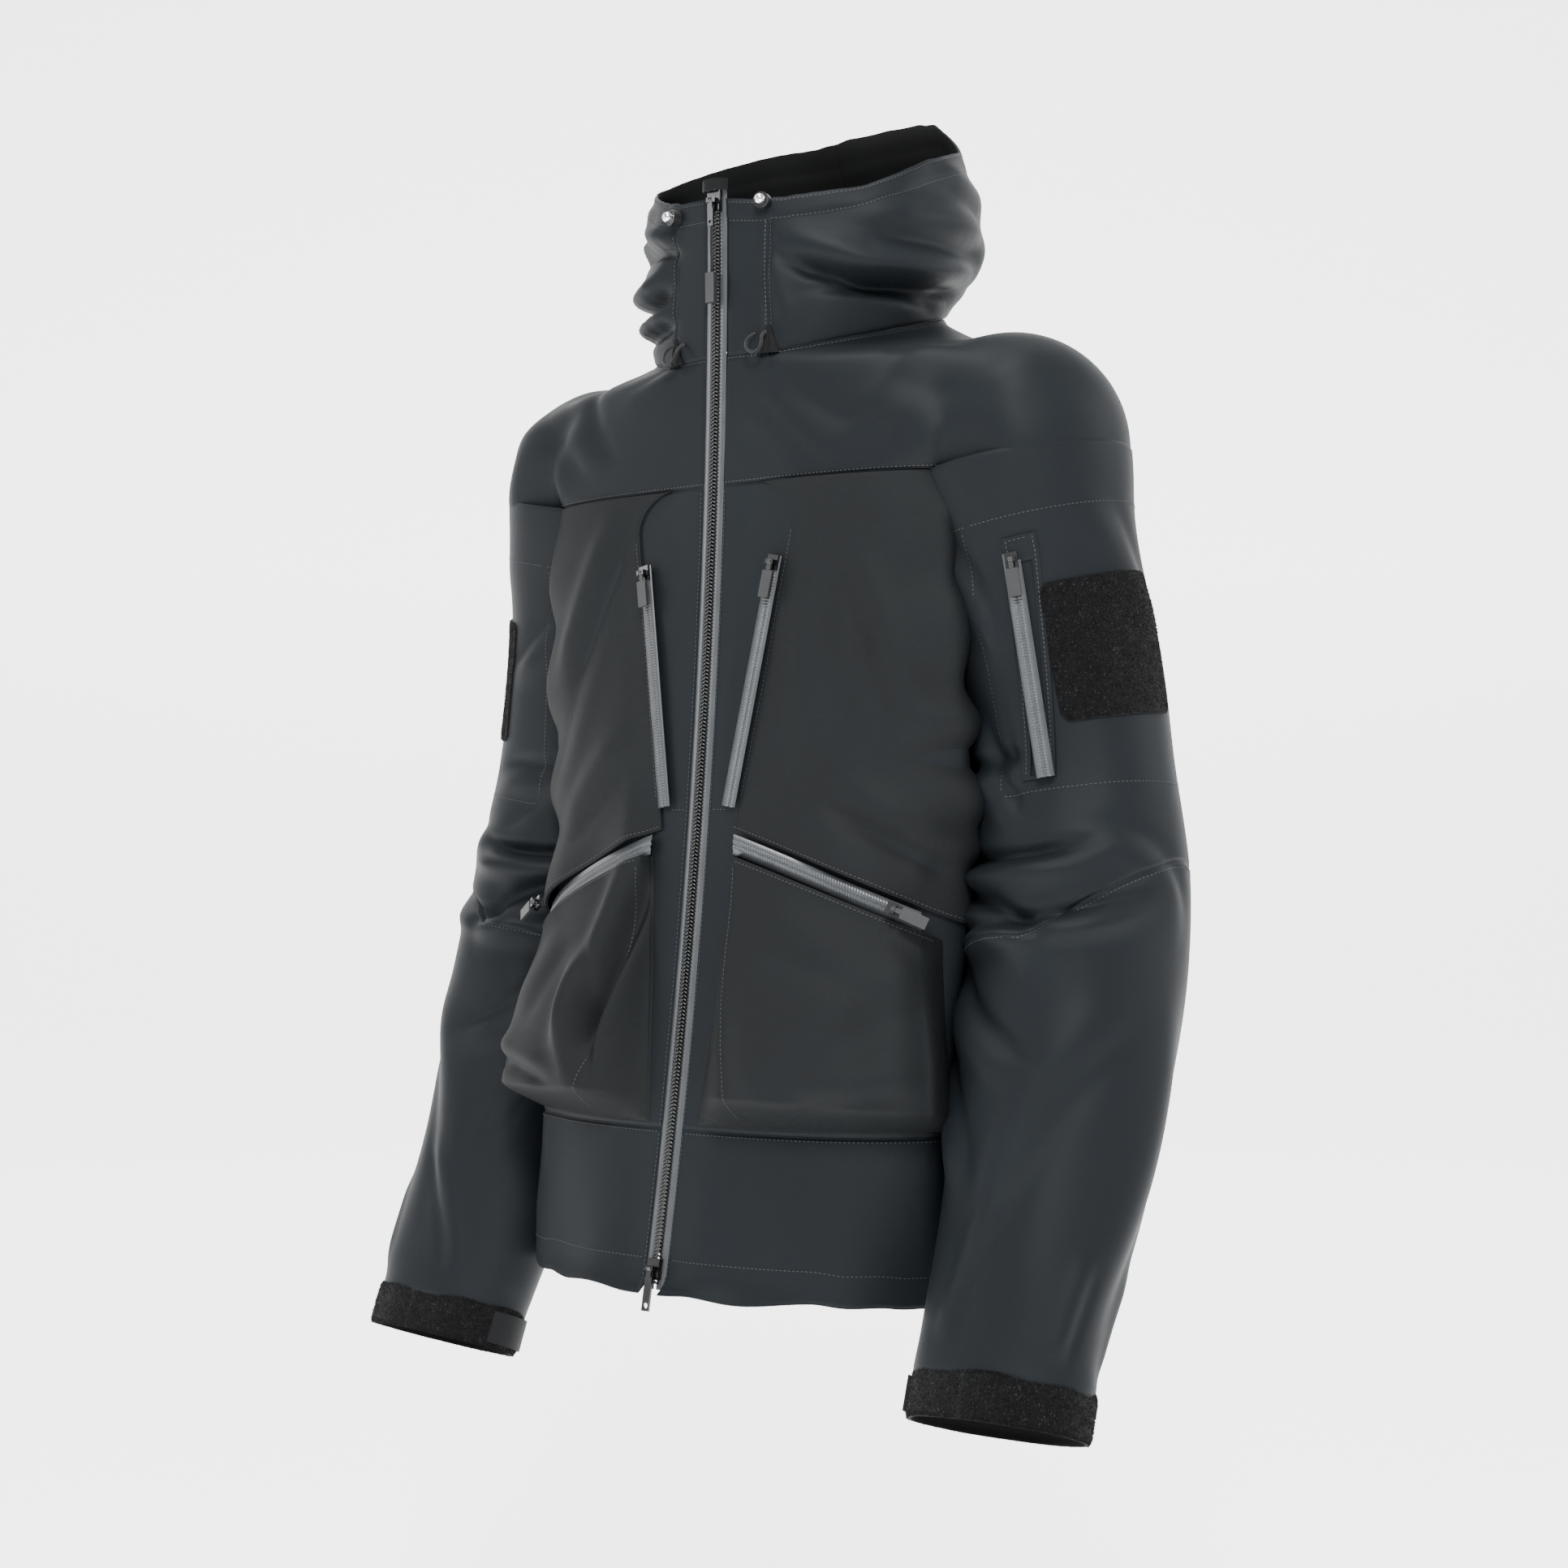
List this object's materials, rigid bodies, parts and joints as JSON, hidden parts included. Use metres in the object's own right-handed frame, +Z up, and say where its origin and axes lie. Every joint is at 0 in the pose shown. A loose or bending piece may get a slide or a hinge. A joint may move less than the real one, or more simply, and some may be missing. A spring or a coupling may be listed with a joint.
{
  "type": "hooded hardshell jacket",
  "caption": "Hooded waterproof shell jacket, shown as worn, with chest and cargo pockets, zips, loop patches and adjustable cuffs.",
  "frame": {"origin": "centre of the hanger loop, inside the back of the neck", "axes": "+Z up along the wearer's back, +X to the wearer's left, -Y out of the chest"},
  "size_m": [0.65, 0.3385, 0.9762],
  "materials": {
    "shell_fabric": "matte, waterproof laminate",
    "pocket_fabric": "matte, fine weave",
    "hook_and_loop": "fuzzy",
    "tab_fabric": "woven webbing",
    "zip_tape": "coated, satin",
    "zip_teeth": "moulded, satin",
    "slider_metal": "dark nickel",
    "pull_rubber": "moulded, matte",
    "cord_lock": "moulded",
    "button_metal": "bright",
    "cord": "braided"
  },
  "bodies": {
    "torso": {"front_panel_left": "shell_fabric", "side_panel_left": "shell_fabric", "yoke_left": "shell_fabric", "hem_band_left": "shell_fabric", "chest_pocket_left": "pocket_fabric", "cargo_pocket_left": "pocket_fabric", "collar_left": "shell_fabric", "zip_tape_left": "zip_tape", "chest_zip_tape_left": "zip_tape", "hand_zip_tape_left": "zip_tape", "cord_lock_left": "cord_lock", "hood_cord_left": "cord", "front_panel_right": "shell_fabric", "side_panel_right": "shell_fabric", "yoke_right": "shell_fabric", "hem_band_right": "shell_fabric", "chest_pocket_right": "pocket_fabric", "cargo_pocket_right": "pocket_fabric", "collar_right": "shell_fabric", "zip_tape_right": "zip_tape", "chest_zip_tape_right": "zip_tape", "hand_zip_tape_right": "zip_tape", "cord_lock_right": "cord_lock", "hood_cord_right": "cord", "back_panel": "shell_fabric", "hem_band_back": "shell_fabric", "hanger_loop": "tab_fabric", "zip_teeth": "zip_teeth"},
    "hood": {"hood_side_left": "shell_fabric", "hood_side_right": "shell_fabric", "hood_middle": "shell_fabric"},
    "upper_sleeve_left": {"upper_sleeve_left": "shell_fabric", "loop_patch_left": "hook_and_loop", "sleeve_zip_tape": "zip_tape"},
    "lower_sleeve_left": {"lower_sleeve_left": "shell_fabric", "cuff_band_left": "hook_and_loop"},
    "cuff_tab_left": {"cuff_tab_left": "tab_fabric"},
    "cord_button_left": {"cord_button_left": "button_metal"},
    "chest_slider_left": {"chest_slider_left": "slider_metal"},
    "chest_pull_left": {"chest_pull_left": "pull_rubber"},
    "hand_slider_left": {"hand_slider_left": "slider_metal"},
    "hand_pull_left": {"hand_pull_left": "pull_rubber"},
    "upper_sleeve_right": {"upper_sleeve_right": "shell_fabric", "loop_patch_right": "hook_and_loop"},
    "lower_sleeve_right": {"lower_sleeve_right": "shell_fabric", "cuff_band_right": "hook_and_loop"},
    "cuff_tab_right": {"cuff_tab_right": "tab_fabric"},
    "cord_button_right": {"cord_button_right": "button_metal"},
    "chest_slider_right": {"chest_slider_right": "slider_metal"},
    "chest_pull_right": {"chest_pull_right": "pull_rubber"},
    "hand_slider_right": {"hand_slider_right": "slider_metal"},
    "hand_pull_right": {"hand_pull_right": "pull_rubber"},
    "main_slider_upper": {"main_slider_upper": "slider_metal"},
    "main_pull_upper": {"main_pull_upper": "slider_metal", "main_pull_cord": "cord", "main_pull_end": "pull_rubber"},
    "main_slider_lower": {"main_slider_lower": "slider_metal"},
    "main_pull_lower": {"main_pull_lower": "slider_metal"},
    "sleeve_slider": {"sleeve_slider": "slider_metal"},
    "sleeve_pull": {"sleeve_pull": "pull_rubber"}
  },
  "joints": [
    {"name": "hood_fold", "type": "hinge", "parent": "torso", "child": "hood", "pos_m": [0, 0.0155, 0.006], "axis": [-1, 0, 0], "range_deg": [0, 45]},
    {"name": "shoulder_left", "type": "hinge", "parent": "torso", "child": "upper_sleeve_left", "pos_m": [0.19, -0.076, -0.116], "axis": [0, -1, 0], "range_deg": [0, 35]},
    {"name": "elbow_left", "type": "hinge", "parent": "upper_sleeve_left", "child": "lower_sleeve_left", "pos_m": [0.243, -0.07, -0.428], "axis": [-0.8, -0.6, 0], "range_deg": [0, 30]},
    {"name": "cuff_tab_left", "type": "hinge", "parent": "lower_sleeve_left", "child": "cuff_tab_left", "pos_m": [0.19522, -0.21642, -0.76929], "axis": [-0.0369, 0.349, 0.9364], "range_deg": [0, 100]},
    {"name": "cord_button_left", "type": "slide", "parent": "torso", "child": "cord_button_left", "axis": [-0.3236, 0.9462, 0], "range_m": [0, 0.002], "stiffness_N_per_m": 150},
    {"name": "chest_zip_left", "type": "slide", "parent": "torso", "child": "chest_slider_left", "axis": [-0.1691, -0.0834, -0.9821], "range_m": [0, 0.1683]},
    {"name": "chest_pull_left", "type": "hinge", "parent": "chest_slider_left", "child": "chest_pull_left", "pos_m": [0.06052, -0.19441, -0.19691], "axis": [-0.9833, -0.0534, 0.1739], "range_deg": [0, 160]},
    {"name": "hand_zip_left", "type": "hinge", "parent": "torso", "child": "hand_slider_left", "pos_m": [0.02905, 0.04244, -0.48097], "axis": [-0.2997, -0.317, -0.8998], "range_deg": [0, 26.1]},
    {"name": "hand_pull_left", "type": "hinge", "parent": "hand_slider_left", "child": "hand_pull_left", "pos_m": [0.16844, -0.1957, -0.44349], "axis": [-0.2997, -0.317, -0.8998], "range_deg": [0, 160]},
    {"name": "shoulder_right", "type": "hinge", "parent": "torso", "child": "upper_sleeve_right", "pos_m": [-0.19, -0.076, -0.116], "axis": [0, 1, 0], "range_deg": [0, 35]},
    {"name": "elbow_right", "type": "hinge", "parent": "upper_sleeve_right", "child": "lower_sleeve_right", "pos_m": [-0.243, -0.07, -0.428], "axis": [-0.8, 0.6, 0], "range_deg": [0, 30]},
    {"name": "cuff_tab_right", "type": "hinge", "parent": "lower_sleeve_right", "child": "cuff_tab_right", "pos_m": [-0.19522, -0.21642, -0.76929], "axis": [-0.0369, -0.349, -0.9364], "range_deg": [0, 100]},
    {"name": "cord_button_right", "type": "slide", "parent": "torso", "child": "cord_button_right", "axis": [0.3236, 0.9462, 0], "range_m": [0, 0.002], "stiffness_N_per_m": 150},
    {"name": "chest_zip_right", "type": "slide", "parent": "torso", "child": "chest_slider_right", "axis": [0.1691, -0.0834, -0.9821], "range_m": [0, 0.1683]},
    {"name": "chest_pull_right", "type": "hinge", "parent": "chest_slider_right", "child": "chest_pull_right", "pos_m": [-0.06052, -0.19441, -0.19691], "axis": [-0.9833, 0.0534, -0.1739], "range_deg": [0, 160]},
    {"name": "hand_zip_right", "type": "hinge", "parent": "torso", "child": "hand_slider_right", "pos_m": [-0.02905, 0.04244, -0.48097], "axis": [-0.2997, 0.317, 0.8998], "range_deg": [0, 26.1]},
    {"name": "hand_pull_right", "type": "hinge", "parent": "hand_slider_right", "child": "hand_pull_right", "pos_m": [-0.16844, -0.1957, -0.44349], "axis": [-0.2997, 0.317, 0.8998], "range_deg": [0, 160]},
    {"name": "main_zip_upper", "type": "hinge", "parent": "torso", "child": "main_slider_upper", "pos_m": [0, -4.22126, 0.03951], "axis": [-1, 0, 0], "range_deg": [0, 6.1]},
    {"name": "main_pull_upper", "type": "hinge", "parent": "main_slider_upper", "child": "main_pull_upper", "pos_m": [0, -0.18688, 0.07243], "axis": [-1, 0, 0], "range_deg": [0, 160]},
    {"name": "main_zip_lower", "type": "hinge", "parent": "torso", "child": "main_slider_lower", "pos_m": [0, -4.22126, 0.03951], "axis": [1, 0, 0], "range_deg": [0, 3.12]},
    {"name": "main_pull_lower", "type": "hinge", "parent": "main_slider_lower", "child": "main_pull_lower", "pos_m": [0, -0.25512, -0.7001], "axis": [-1, 0, 0], "range_deg": [0, 160]},
    {"name": "sleeve_zip", "type": "slide", "parent": "upper_sleeve_left", "child": "sleeve_slider", "axis": [0.1674, 0.019, -0.9857], "range_m": [0, 0.143]},
    {"name": "sleeve_pull", "type": "hinge", "parent": "sleeve_slider", "child": "sleeve_pull", "pos_m": [0.2325, -0.14656, -0.20297], "axis": [-0.9211, -0.3536, -0.1633], "range_deg": [0, 160]}
  ]
}
